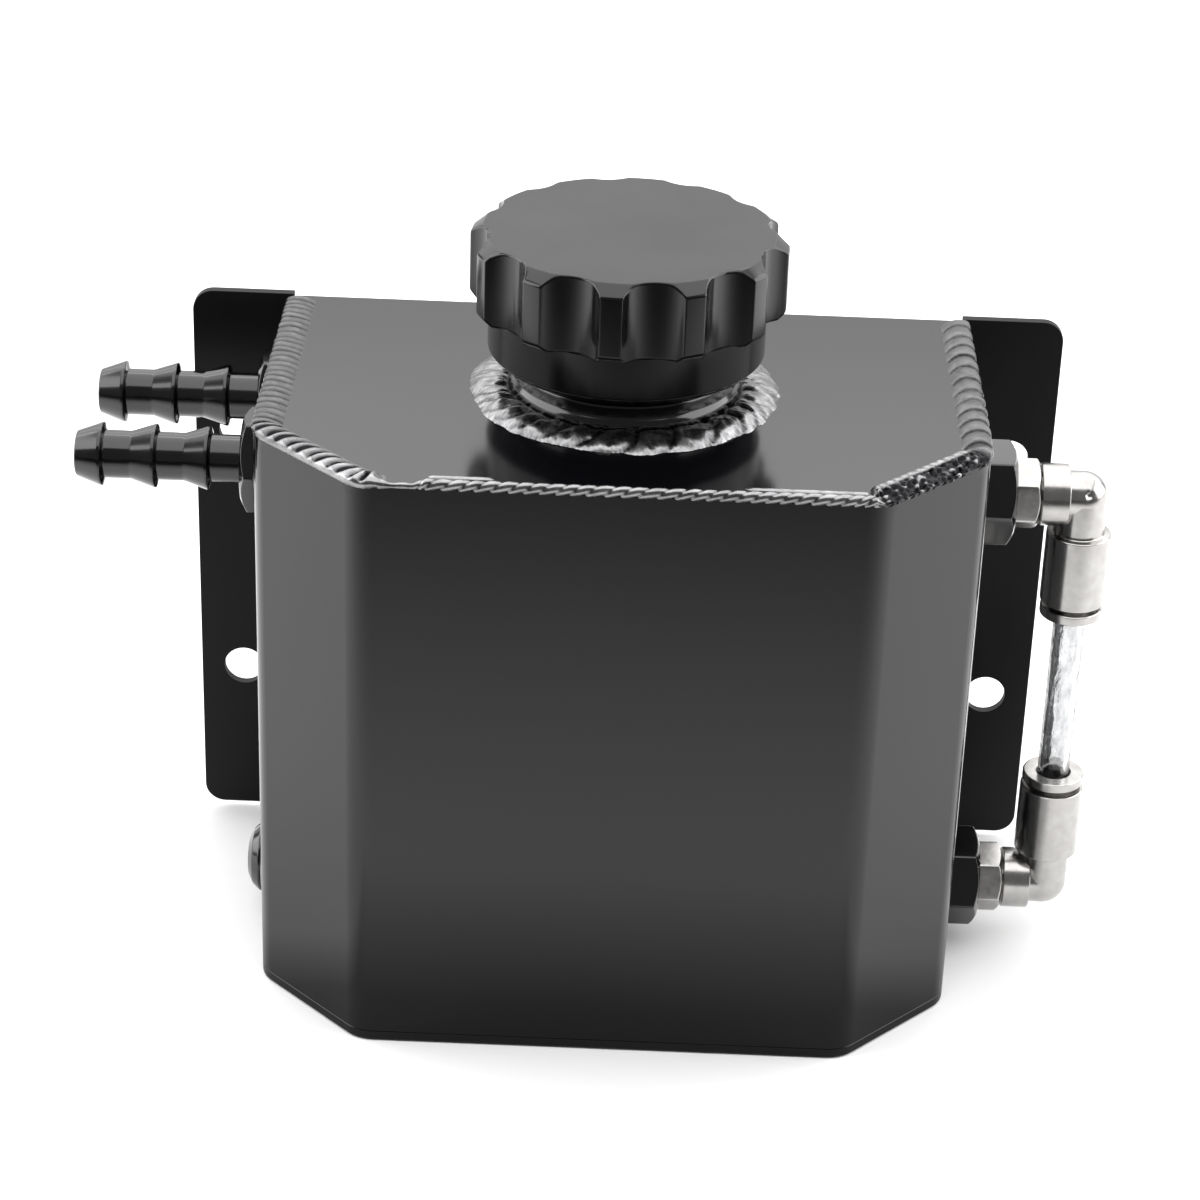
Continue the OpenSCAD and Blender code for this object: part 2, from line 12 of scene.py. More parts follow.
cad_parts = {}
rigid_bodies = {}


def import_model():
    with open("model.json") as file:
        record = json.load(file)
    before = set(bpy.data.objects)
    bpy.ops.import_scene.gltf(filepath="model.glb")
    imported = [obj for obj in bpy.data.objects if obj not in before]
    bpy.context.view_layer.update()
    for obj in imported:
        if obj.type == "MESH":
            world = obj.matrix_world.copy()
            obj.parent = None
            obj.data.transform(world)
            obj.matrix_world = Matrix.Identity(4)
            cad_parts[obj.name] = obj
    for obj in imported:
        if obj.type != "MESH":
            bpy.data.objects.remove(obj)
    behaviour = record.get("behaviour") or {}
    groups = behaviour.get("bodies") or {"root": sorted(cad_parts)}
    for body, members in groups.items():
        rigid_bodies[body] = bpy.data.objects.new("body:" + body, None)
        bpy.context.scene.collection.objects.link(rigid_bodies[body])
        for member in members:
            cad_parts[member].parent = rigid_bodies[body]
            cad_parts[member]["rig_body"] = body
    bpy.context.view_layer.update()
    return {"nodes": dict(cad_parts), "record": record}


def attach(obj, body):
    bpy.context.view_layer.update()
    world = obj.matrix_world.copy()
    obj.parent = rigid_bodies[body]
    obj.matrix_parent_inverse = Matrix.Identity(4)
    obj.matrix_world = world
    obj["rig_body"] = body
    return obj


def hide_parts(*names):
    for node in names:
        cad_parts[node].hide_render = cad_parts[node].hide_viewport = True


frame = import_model()

MM = 0.001
TAU = 2 * math.pi
# Points of a skin that lie closer than this are one point
MERGE = 0.0015

# Sizes shared with part.scad
WALL_X, FRONT_Y, BACK_Y = 65.0, -41.5, 41.5
SHEET, TOP_Z = 2.0, 114.0
CORNER_CUT, BEND_R = 20.0, 7.0
PANEL_Y = BACK_Y - SHEET
NECK_Y = 3.0
CAP_LOW, GRIP_LOW, SEAL_TOP, CAP_TOP = 7.5, 16.6, 24.0, 31.0
CAP_R, SKIRT_R, CAP_BORE_R, CAP_CHAMFER = 28.5, 25.0, 20.58, 1.3
BEVEL_IN_R, BEVEL_SLOPE = 26.0, 0.72
FLUTES, FLUTE_DEPTH, FLUTE_R, CAP_CLOCKING = 12, 3.3, 6.8, -5.5
NECK_BORE_R, NECK_THREAD_R, FLANGE_R = 16.5, 20.5, 20.9
THREAD_PITCH, THREAD_LOW, NECK_TOP = 3.0, 6.0, 22.0
GAUGE_Y, GAUGE_LOW_Z, GAUGE_HIGH_Z, GAUGE_REACH, BUNG_END = 3.5, 13.0, 96.0, 20.0, 7.2
BARB_Z, BARB_YS = 100.0, (-3.5, 24.5)
BLACK_FLATS = 17.0
DRAIN_Z = 11.0

# Radius where the turned-off corners of a black hexagon start
BLACK_CORNER_R = 7.95
# Height of the thread ridge's start over the foot of the neck's thread
RIDGE_IN = 1.2

# The neck's foot, the way outward from the right wall for a skin made along Z, and the tube's axis
NECK = Matrix.Translation((0, NECK_Y, TOP_Z))
OUTWARD = Matrix.Rotation(math.pi / 2, 4, "Y")
TUBE_AXIS = Matrix.Translation((GAUGE_REACH, 0, 0))


# Meshes

def loft(rings, caps=False, loop=False):
    """Vertices and faces of a skin over closed rings of equally many points."""
    n = len(rings[0])
    verts = [tuple(v) for ring in rings for v in ring]
    faces = []
    for i in range(len(rings) if loop else len(rings) - 1):
        a, b = i * n, (i + 1) % len(rings) * n
        for j in range(n):
            k = (j + 1) % n
            faces.append((a + j, a + k, b + k, b + j))
    if caps:
        last = (len(rings) - 1) * n
        faces.append(tuple(reversed(range(n))))
        faces.append(tuple(last + j for j in range(n)))
    return verts, faces


def show(name, bm, material, body, replaces, sharp):
    """Makes an object of a finished mesh in metres, shaded smooth below the sharp angle in degrees."""
    limit = math.radians(sharp)
    for face in bm.faces:
        face.smooth = True
    for edge in bm.edges:
        edge.smooth = len(edge.link_faces) == 2 and edge.calc_face_angle(0) < limit
    mesh = bpy.data.meshes.new(name)
    bm.to_mesh(mesh)
    bm.free()
    obj = bpy.data.objects.new(name, mesh)
    bpy.context.scene.collection.objects.link(obj)
    mesh.materials.append(material)
    obj.modifiers.new("weighted", "WEIGHTED_NORMAL").keep_sharp = True
    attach(obj, body)
    if replaces:
        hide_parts(*replaces)


def piece(name, skins, slot, body, replaces=(), place=None, sharp=40):
    """One object from several skins in millimetres, moved by place, with the look of its slot.

    A skin may carry a third list: how dark each vertex's colour is painted, from 0 to 1, mostly painted shade
    in crevices.
    """
    bm = bmesh.new()
    # The crevice attribute holds how dark the weld's colour is painted, mostly painted shade in crevices
    crevice = bm.verts.layers.float.new("crevice")
    for verts, faces, *depths in skins:
        made = [bm.verts.new(v) for v in verts]
        for vert, depth in zip(made, depths[0] if depths else ()):
            vert[crevice] = depth
        for face in faces:
            if len(set(face)) > 2:
                bm.faces.new([made[i] for i in face])
    bmesh.ops.remove_doubles(bm, verts=bm.verts, dist=MERGE)
    bmesh.ops.dissolve_degenerate(bm, edges=bm.edges, dist=MERGE / 3)
    bmesh.ops.recalc_face_normals(bm, faces=bm.faces)
    bmesh.ops.transform(bm, matrix=Matrix.Scale(MM, 4) @ (place or Matrix()), verts=bm.verts)
    show(name, bm, LOOKS[slot], body, replaces, sharp)


def moved(skin, matrix):
    """The same skin, turned and shifted by a matrix."""
    return [tuple(matrix @ Vector(v)) for v in skin[0]], skin[1]


def softened(points, reach, steps=3, cyclic=False):
    """The same outline with each corner rounded off, up to reach along its sides."""
    points = [Vector(p) for p in points]
    n = len(points)
    out = [] if cyclic else [points[0]]
    for i in range(n) if cyclic else range(1, n - 1):
        a, b, c = points[i - 1], points[i], points[(i + 1) % n]
        u, v = a - b, c - b
        r = min(reach, 0.45 * u.length, 0.45 * v.length)
        start, end = b + u.normalized() * r, b + v.normalized() * r
        for k in range(steps + 1):
            t = k / steps
            out.append(start.lerp(b, t).lerp(b.lerp(end, t), t))
    return out if cyclic else out + [points[-1]]


def spin(profile, steps=96, closed=False):
    """Turns a profile of (radius, height) points about Z."""
    rings = [[(r * math.cos(TAU * i / steps), r * math.sin(TAU * i / steps), h) for i in range(steps)]
             for r, h in profile]
    return loft(rings, loop=closed)


def turned(points, reach, steps=96):
    """A turned ring whose section is the closed outline, with soft corners."""
    return spin(softened(points, reach, cyclic=True), steps, True)


def at_left(y, z):
    """Turns a piece made along Z outward from the left wall, at height z."""
    return Matrix.Translation((-WALL_X, y, z)) @ Matrix.Rotation(-math.pi / 2, 4, "Y")


def hexagon_outline(flats, corner=0.35, turn=0.0):
    """Points of a hexagon with rounded corners, first corner at the given turn."""
    steps, per_side = 3, 6
    corner_r = flats / 2 / math.cos(TAU / 12)
    angles = [k * TAU / 6 + turn for k in range(6)]
    corners = [(corner_r * math.cos(a), corner_r * math.sin(a), 0) for a in angles]
    soft = softened(corners, corner, steps, cyclic=True)
    out = []
    for i, p in enumerate(soft):
        out.append(p)
        if i % (steps + 1) == steps:
            q = soft[(i + 1) % len(soft)]
            out += [p.lerp(q, (k + 1) / (per_side + 1)) for k in range(per_side)]
    return out


def hexagon(flats, low, high, bore_r, turn, chamfer_r, soft=0.12):
    """A bored hexagon with the corners of its upper end turned off by a 30 degree cone."""
    outline = hexagon_outline(flats, turn=turn)
    slope = math.tan(math.radians(30))

    def ring(inset, height):
        return [p * (1 - inset / p.length) + Vector((0, 0, height)) for p in outline]

    def level(p):
        return high - max(0.0, p.length - chamfer_r) * slope

    def at_radius(r, height):
        return [p.normalized() * r + Vector((0, 0, height)) for p in outline]

    return loft([
        at_radius(bore_r, low), ring(soft, low), ring(soft * 0.3, low + soft * 0.3), ring(0, low + soft),
        [Vector((p.x, p.y, level(p) - soft)) for p in outline],
        [p * (1 - 0.3 * soft / p.length) + Vector((0, 0, level(p) - 0.1 * soft)) for p in outline],
        [p * (1 - soft / p.length) + Vector((0, 0, min(high, level(p) + soft * slope))) for p in outline],
        at_radius(chamfer_r, high), at_radius(chamfer_r - soft, high + 0.001), at_radius(bore_r, high),
    ], loop=True)


def helix_ridge(low, high, base_r, crest_r, base_w, crest_w, phase):
    """A right-handed thread ridge of the neck's pitch, sunk a little and fading out at both ends."""
    per_turn, fading, sunk = 72, 10, 0.25
    count = int((high - low) / THREAD_PITCH * per_turn)
    rings = []
    for i in range(count + 1):
        a = TAU * i / per_turn + phase
        z = low + THREAD_PITCH * i / per_turn
        fade = min(1.0, i / fading, (count - i) / fading)
        top = base_r + (crest_r - base_r) * fade
        back = base_r + (base_r - crest_r) * sunk
        c, s = math.cos(a), math.sin(a)
        half_b, half_c = base_w / 2, base_w / 2 + (crest_w - base_w) / 2 * fade
        lower = ((back, -half_b), (base_r, -half_b), (top, -half_c))
        upper = ((top, half_c), (base_r, half_b), (back, half_b))
        rings.append([(r * c, r * s, z + dz) for r, dz in lower + upper])
    return loft(rings, caps=True)


# Materials

class Shader:
    """Small helper over a node tree."""

    def __init__(self, name):
        self.mat = bpy.data.materials.new(name)
        self.mat.use_nodes = True
        self.tree = self.mat.node_tree
        self.bsdf = self.tree.nodes["Principled BSDF"]
        self.coords = self.node("ShaderNodeTexCoord")

    def node(self, kind, **values):
        made = self.tree.nodes.new(kind)
        for key, value in values.items():
            setattr(made, key, value)
        return made

    def link(self, out, socket):
        self.tree.links.new(out, socket)

    def set(self, **values):
        for key, value in values.items():
            self.bsdf.inputs[key.replace("_", " ")].default_value = value

    def place(self, scale, shift=(0, 0, 0)):
        """Object coordinates, scaled and then moved."""
        mapping = self.node("ShaderNodeMapping")
        mapping.inputs["Scale"].default_value = scale
        mapping.inputs["Location"].default_value = shift
        self.link(self.coords.outputs["Object"], mapping.inputs["Vector"])
        return mapping.outputs["Vector"]

    def noise(self, scale, detail=3.0, roughness=0.5, vector=None):
        made = self.node("ShaderNodeTexNoise")
        made.inputs["Scale"].default_value = scale
        made.inputs["Detail"].default_value = detail
        made.inputs["Roughness"].default_value = roughness
        self.link(vector or self.coords.outputs["Object"], made.inputs["Vector"])
        return made.outputs["Fac"]

    def spread(self, value, low, high, from_low=0.3, from_high=0.7):
        """Low up to from_low, high from from_high on, and in between a straight line."""
        made = self.node("ShaderNodeMapRange")
        made.inputs["From Min"].default_value = from_low
        made.inputs["From Max"].default_value = from_high
        made.inputs["To Min"].default_value = low
        made.inputs["To Max"].default_value = high
        self.link(value, made.inputs["Value"])
        return made.outputs["Result"]

    def combine(self, operation, first, second):
        made = self.node("ShaderNodeMath", operation=operation)
        self.link(first, made.inputs[0])
        self.link(second, made.inputs[1])
        return made.outputs[0]

    def blend_colour(self, value, first, second):
        made = self.node("ShaderNodeMix", data_type="RGBA")
        made.inputs[6].default_value = (*first, 1)
        made.inputs[7].default_value = (*second, 1)
        self.link(value, made.inputs[0])
        return made.outputs[2]

    def bump(self, height, distance, strength):
        made = self.node("ShaderNodeBump")
        made.inputs["Distance"].default_value = distance
        made.inputs["Strength"].default_value = strength
        self.link(height, made.inputs["Height"])
        return made.outputs["Normal"]

    def finish(self, colour, roughness, normal=None):
        for value, socket in ((colour, "Base Color"), (roughness, "Roughness"), (normal, "Normal")):
            if value:
                self.link(value, self.bsdf.inputs[socket])
        return self.mat


def coated_sheet(name, dullness, sheen):
    """Satin black coat on rolled sheet: fine grain, faint cloudy sheen, no scratches of note."""
    s = Shader(name)
    s.set(Metallic=0.0, IOR=1.5, Specular_IOR_Level=sheen)
    cloud = s.noise(18, 3, 0.5)
    grain = s.noise(2600, 2, 0.6)
    colour = s.blend_colour(s.spread(cloud, 0, 1), (0.0012, 0.0012, 0.0018), (0.0024, 0.0024, 0.0032))
    rough = s.spread(cloud, dullness, dullness + 0.05)
    normal = s.bump(grain, 0.00001, 0.35)
    return s.finish(colour, rough, normal)


def coated_bead():
    """The same coat over a weld, pitted: crests lighter as worn metal, crevices and concave spots painted
    dark as shade.
    """
    s = Shader("weld_black")
    s.set(Metallic=1.0, IOR=1.5, Specular_IOR_Level=0.5)
    cloud = s.noise(420, 4, 0.6)
    pits = s.noise(1900, 3, 0.7)
    # Painted shade: low pointiness and the crevice attribute paint the crevices and concave spots dark
    hollow = s.node("ShaderNodeNewGeometry").outputs["Pointiness"]
    crevice = s.node("ShaderNodeAttribute", attribute_name="crevice").outputs["Fac"]
    raised, clear_of_painted_shade = s.spread(hollow, 0.03, 1, 0.45, 0.52), s.spread(crevice, 1, 0.03, 0.12, 0.6)
    # Lighter worn metal where the noise allows, held down by the painted shade
    wear_and_shade = s.combine("MULTIPLY", s.spread(cloud, 0.55, 1), s.combine("MULTIPLY", raised, clear_of_painted_shade))
    colour = s.blend_colour(wear_and_shade, (0.006, 0.006, 0.007), (0.36, 0.36, 0.365))
    rough = s.spread(cloud, 0.22, 0.36)
    normal = s.bump(pits, 0.00003, 0.5)
    return s.finish(colour, rough, normal)


def bright_black():
    """Bright black anodising over turned aluminium."""
    s = Shader("turned_black")
    s.set(Metallic=0.0, IOR=1.5, Specular_IOR_Level=0.5, Coat_Weight=0.3, Coat_Roughness=0.06)
    cloud = s.noise(120, 3, 0.5)
    colour = s.blend_colour(s.spread(cloud, 0, 1), (0.0012, 0.0012, 0.0014), (0.0025, 0.0025, 0.0028))
    rough = s.spread(cloud, 0.13, 0.2)
    normal = s.bump(s.noise(2200, 2, 0.5), 0.000008, 0.35)
    return s.finish(colour, rough, normal)


def cap_finish():
    """Black anodised billet: faced top with fine rings, milled flutes."""
    s = Shader("cap_black")
    s.set(Metallic=0.0, IOR=1.5, Specular_IOR_Level=0.5)
    centred = s.place((1, 1, 0), (0, -NECK_Y * MM, 0))
    length = s.node("ShaderNodeVectorMath", operation="LENGTH")
    s.link(centred, length.inputs[0])
    rings = s.node("ShaderNodeTexNoise", noise_dimensions="1D")
    rings.inputs["Scale"].default_value = 2600
    rings.inputs["Detail"].default_value = 2
    s.link(length.outputs["Value"], rings.inputs["W"])
    cloud = s.noise(60, 3, 0.5)
    colour = s.blend_colour(s.spread(cloud, 0, 1), (0.0014, 0.0014, 0.0016), (0.0028, 0.0028, 0.003))
    facing = s.node("ShaderNodeSeparateXYZ")
    s.link(s.coords.outputs["Normal"], facing.inputs[0])
    top = s.spread(facing.outputs["Z"], 0, 1, 0.9, 0.99)
    rough = s.node("ShaderNodeMix", data_type="FLOAT")
    s.link(top, rough.inputs[0])
    s.link(s.spread(cloud, 0.14, 0.22), rough.inputs[2])
    s.link(s.spread(cloud, 0.4, 0.46), rough.inputs[3])
    normal = s.bump(rings.outputs["Fac"], 0.00001, 0.3)
    return s.finish(colour, rough.outputs[0], normal)


def nickel_plate():
    """Nickel plated brass, faintly warm, with a satin tumbled surface."""
    s = Shader("nickel")
    s.set(Metallic=1.0)
    cloud = s.noise(420, 4, 0.55)
    colour = s.blend_colour(s.spread(cloud, 0, 1), (0.38, 0.37, 0.36), (0.47, 0.458, 0.445))
    rough = s.spread(s.noise(900, 3, 0.6), 0.19, 0.25)
    normal = s.bump(s.noise(1500, 3, 0.6), 0.00001, 0.25)
    return s.finish(colour, rough, normal)


def plain_steel():
    """Bright spring steel of the rings and washers inside."""
    s = Shader("steel")
    s.set(Metallic=1.0)
    cloud = s.noise(500, 3, 0.5)
    colour = s.blend_colour(s.spread(cloud, 0, 1), (0.5, 0.5, 0.51), (0.62, 0.62, 0.63))
    return s.finish(colour, s.spread(cloud, 0.3, 0.42), s.bump(s.noise(2400), 0.00001, 0.4))


def moulded_rubber():
    """Matt black rubber of the seals."""
    s = Shader("black_rubber")
    s.set(Metallic=0.0)
    cloud = s.noise(300, 3, 0.5)
    colour = s.blend_colour(s.spread(cloud, 0, 1), (0.011, 0.011, 0.011), (0.02, 0.02, 0.02))
    return s.finish(colour, s.spread(cloud, 0.55, 0.7), s.bump(s.noise(1800), 0.00002, 0.4))


def clear_plastic():
    """Extruded clear tube with faint lengthwise lines, its wall a little wavy and grey."""
    s = Shader("clear_tube")
    s.set(Metallic=0.0, IOR=1.46, Transmission_Weight=1.0)
    lines = s.noise(1.0, 2, 0.5, s.place((1400, 1400, 18)))
    waves = s.noise(1.0, 3, 0.6, s.place((700, 700, 260)))
    colour = s.blend_colour(s.spread(waves, 0, 1), (0.5, 0.505, 0.51), (0.88, 0.885, 0.89))
    return s.finish(colour, s.spread(lines, 0.03, 0.1), s.bump(waves, 0.0003, 0.6))


LOOKS = {
    "sheet_black": coated_sheet("sheet_black", 0.1, 0.42),
    "weld_black": coated_bead(),
    "turned_black": bright_black(),
    "cap_black": cap_finish(),
    "nickel": nickel_plate(),
    "steel": plain_steel(),
    "black_rubber": moulded_rubber(),
    "clear_tube": clear_plastic(),
}
EAR_BLACK = coated_sheet("ear_black", 0.45, 0.2)
SLOTS = {part["node"]: part["material_slot"] for part in frame["record"]["subparts"]}
for node, named in SLOTS.items():
    for slot in frame["nodes"][node].material_slots:
        slot.material = LOOKS[named]


# Tank sheets

def plan_point(path, s):
    """Point and outward direction at distance s along a path of straight runs and arcs."""
    for kind, length, data in path:
        if s <= length or (kind, length, data) == path[-1]:
            if kind == "line":
                start, along, out = data
                return start + along * s, out
            centre, first, sweep = data
            a = first + sweep * s / length
            out = Vector((math.cos(a), math.sin(a)))
            return centre + BEND_R * out, out
        s -= length
    raise ValueError("beyond the path's end")


def outer_path():
    """The tank's outer face in plan, from the left wall's back end round the front to the right wall's."""
    eighth = TAU / 8
    half_tan = math.tan(eighth / 2)
    side_y = FRONT_Y + CORNER_CUT + BEND_R * half_tan
    front_x = WALL_X - CORNER_CUT - BEND_R * half_tan
    arc = BEND_R * eighth
    side_len = PANEL_Y - side_y
    d = math.sqrt(0.5)
    cut_start = Vector((-WALL_X + BEND_R, side_y)) + BEND_R * Vector((-d, -d))
    cut_end = Vector((-front_x, FRONT_Y + BEND_R)) + BEND_R * Vector((-d, -d))
    cut_len = (cut_end - cut_start).length
    return [
        ("line", side_len, (Vector((-WALL_X, PANEL_Y)), Vector((0, -1)), Vector((-1, 0)))),
        ("arc", arc, (Vector((-WALL_X + BEND_R, side_y)), 4 * eighth, eighth)),
        ("line", cut_len, (cut_start, Vector((d, -d)), Vector((-d, -d)))),
        ("arc", arc, (Vector((-front_x, FRONT_Y + BEND_R)), 5 * eighth, eighth)),
        ("line", 2 * front_x, (Vector((-front_x, FRONT_Y)), Vector((1, 0)), Vector((0, -1)))),
        ("arc", arc, (Vector((front_x, FRONT_Y + BEND_R)), 6 * eighth, eighth)),
        ("line", cut_len, (Vector((-cut_end.x, cut_end.y)), Vector((d, d)), Vector((d, -d)))),
        ("arc", arc, (Vector((WALL_X - BEND_R, side_y)), 7 * eighth, eighth)),
        ("line", side_len, (Vector((WALL_X, side_y)), Vector((0, 1)), Vector((1, 0)))),
    ]


PATH = outer_path()
ENDS = list(np.cumsum([length for _, length, _ in PATH]))
PATH_LEN = ENDS[-1]


def sheet_from_node(name, node, soft, material=LOOKS["sheet_black"]):
    """A copy of a CAD node's mesh with its flats joined up and its edges broken by soft millimetres."""
    same_place, same_plane, sharp = 0.00001, math.radians(0.5), 30
    source = frame["nodes"][node]
    bm = bmesh.new()
    bm.from_mesh(source.data)
    bmesh.ops.remove_doubles(bm, verts=bm.verts, dist=same_place)
    bmesh.ops.dissolve_limit(bm, angle_limit=same_plane, verts=bm.verts, edges=bm.edges)
    if soft:
        limit = math.radians(sharp)
        edges = [e for e in bm.edges if len(e.link_faces) == 2 and e.calc_face_angle(0) > limit]
        bmesh.ops.bevel(bm, geom=edges, offset=soft * MM, segments=3, profile=0.5, affect="EDGES",
                        clamp_overlap=True)
    show(name, bm, material, source["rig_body"], [node], sharp)


sheet_from_node("folded_wall", "body_wrap", 0)
sheet_from_node("ear_panel", "back_panel", 0.4, EAR_BLACK)
sheet_from_node("top_sheet", "top_plate", 0.25)
sheet_from_node("bottom_sheet", "bottom_plate", 0.35)


# Weld beads

def ripple_steps(length, pitch, wobble, rng):
    """Where each stacked puddle of a weld starts, and how deep its crevice is."""
    marks, depths = [0.0], [1.0]
    while marks[-1] < length:
        marks.append(marks[-1] + pitch(marks[-1]) * rng.uniform(1 - wobble, 1 + wobble))
        depths.append(rng.uniform(0.55, 1.0))
    return np.array(marks), np.array(depths)


def puddle(marks, depths, s, narrow):
    """Height from 0 in a crevice to 1 on a puddle's crest; a higher power widens the crevices."""
    k = np.clip(np.searchsorted(marks, s, side="right") - 1, 0, len(marks) - 2)
    p = np.clip((s - marks[k]) / (marks[k + 1] - marks[k]), 0, 1)
    lean = 0.65
    crest = np.sin(math.pi * p ** lean) ** narrow
    return 1 - depths[k] * (1 - crest)


def stops(x, *pairs):
    """Value at x on the line through pairs of place and value."""
    places, values = zip(*pairs)
    return np.interp(x, places, values)


def lumps(x, y, z, size):
    """Smooth noise from about -1 to 1 whose lumps have the given size."""
    return noise.noise(Vector((x, y, z)) / size)


# Sections of the seam bead: distance in from the outer face, height over the top face
BAND = [
    (0.15, -1.0), (-0.1, -0.6), (-0.33, -0.15), (-0.4, 0.35), (-0.22, 0.85), (0.25, 1.2), (0.9, 1.42),
    (1.6, 1.5), (2.3, 1.48), (3.0, 1.34), (3.6, 1.12), (4.2, 0.84), (4.7, 0.52), (5.1, 0.2),
    (5.5, -0.15), (5.8, -0.6),
]
EDGE = [
    (0.15, -0.8), (0.0, -0.4), (-0.1, -0.1), (-0.1, 0.15), (0.05, 0.38), (0.35, 0.46), (0.7, 0.38),
    (1.05, 0.2), (1.35, -0.02), (1.7, -0.3), (2.4, -0.4), (3.2, -0.4), (4.0, -0.4), (4.6, -0.4),
    (5.2, -0.45), (5.8, -0.6),
]
ROPE = [
    (0.15, -0.8), (-0.1, -0.45), (-0.32, -0.05), (-0.4, 0.45), (-0.28, 0.95), (0.1, 1.32), (0.6, 1.42),
    (1.05, 1.15), (1.35, 0.62), (1.55, 0.1), (1.8, -0.3), (2.8, -0.4), (3.7, -0.4), (4.3, -0.4),
    (5.0, -0.45), (5.8, -0.6),
]
LIP = ROPE[:11] + [(2.8, -0.3), (3.7, 0.0), (4.3, 0.26), (5.0, -0.1), (5.8, -0.6)]
LEDGE = [
    (0.15, -1.2), (-0.05, -0.9), (-0.15, -0.6), (-0.1, -0.3), (0.1, -0.05), (0.45, 0.12), (0.9, 0.3),
    (1.4, 0.5), (1.9, 0.7), (2.4, 0.88), (2.9, 1.06), (3.5, 1.3), (4.1, 1.36), (4.7, 1.1), (5.3, 0.4),
    (5.9, -0.6),
]


def refine(section, times=2):
    """A smooth section through the given points, with times as many steps."""
    pts = np.array(section)
    n = len(pts)
    fine = np.linspace(0, n - 1, (n - 1) * times + 1)
    out = []
    for t in fine:
        i = min(int(t), n - 2)
        f = t - i
        p0, p1, p2, p3 = pts[max(i - 1, 0)], pts[i], pts[i + 1], pts[min(i + 2, n - 1)]
        out.append(0.5 * (2 * p1 + (p2 - p0) * f + (2 * p0 - 5 * p1 + 4 * p2 - p3) * f * f
                          + (3 * p1 - p0 - 3 * p2 + p3) * f ** 3))
    return np.array(out)


def faces_out(section):
    """Unit normals of a section that runs from its outer toe over the top to its inner toe."""
    run = np.gradient(section, axis=0)
    normal = np.stack([-run[:, 1], run[:, 0]], axis=1)
    return normal / np.linalg.norm(normal, axis=1)[:, None]


def rounded_end(gap, reach):
    """1 along a bead, falling in a quarter circle over its last millimetres."""
    return math.sqrt(max(0.02, 1 - (1 - min(gap, reach) / reach) ** 2))


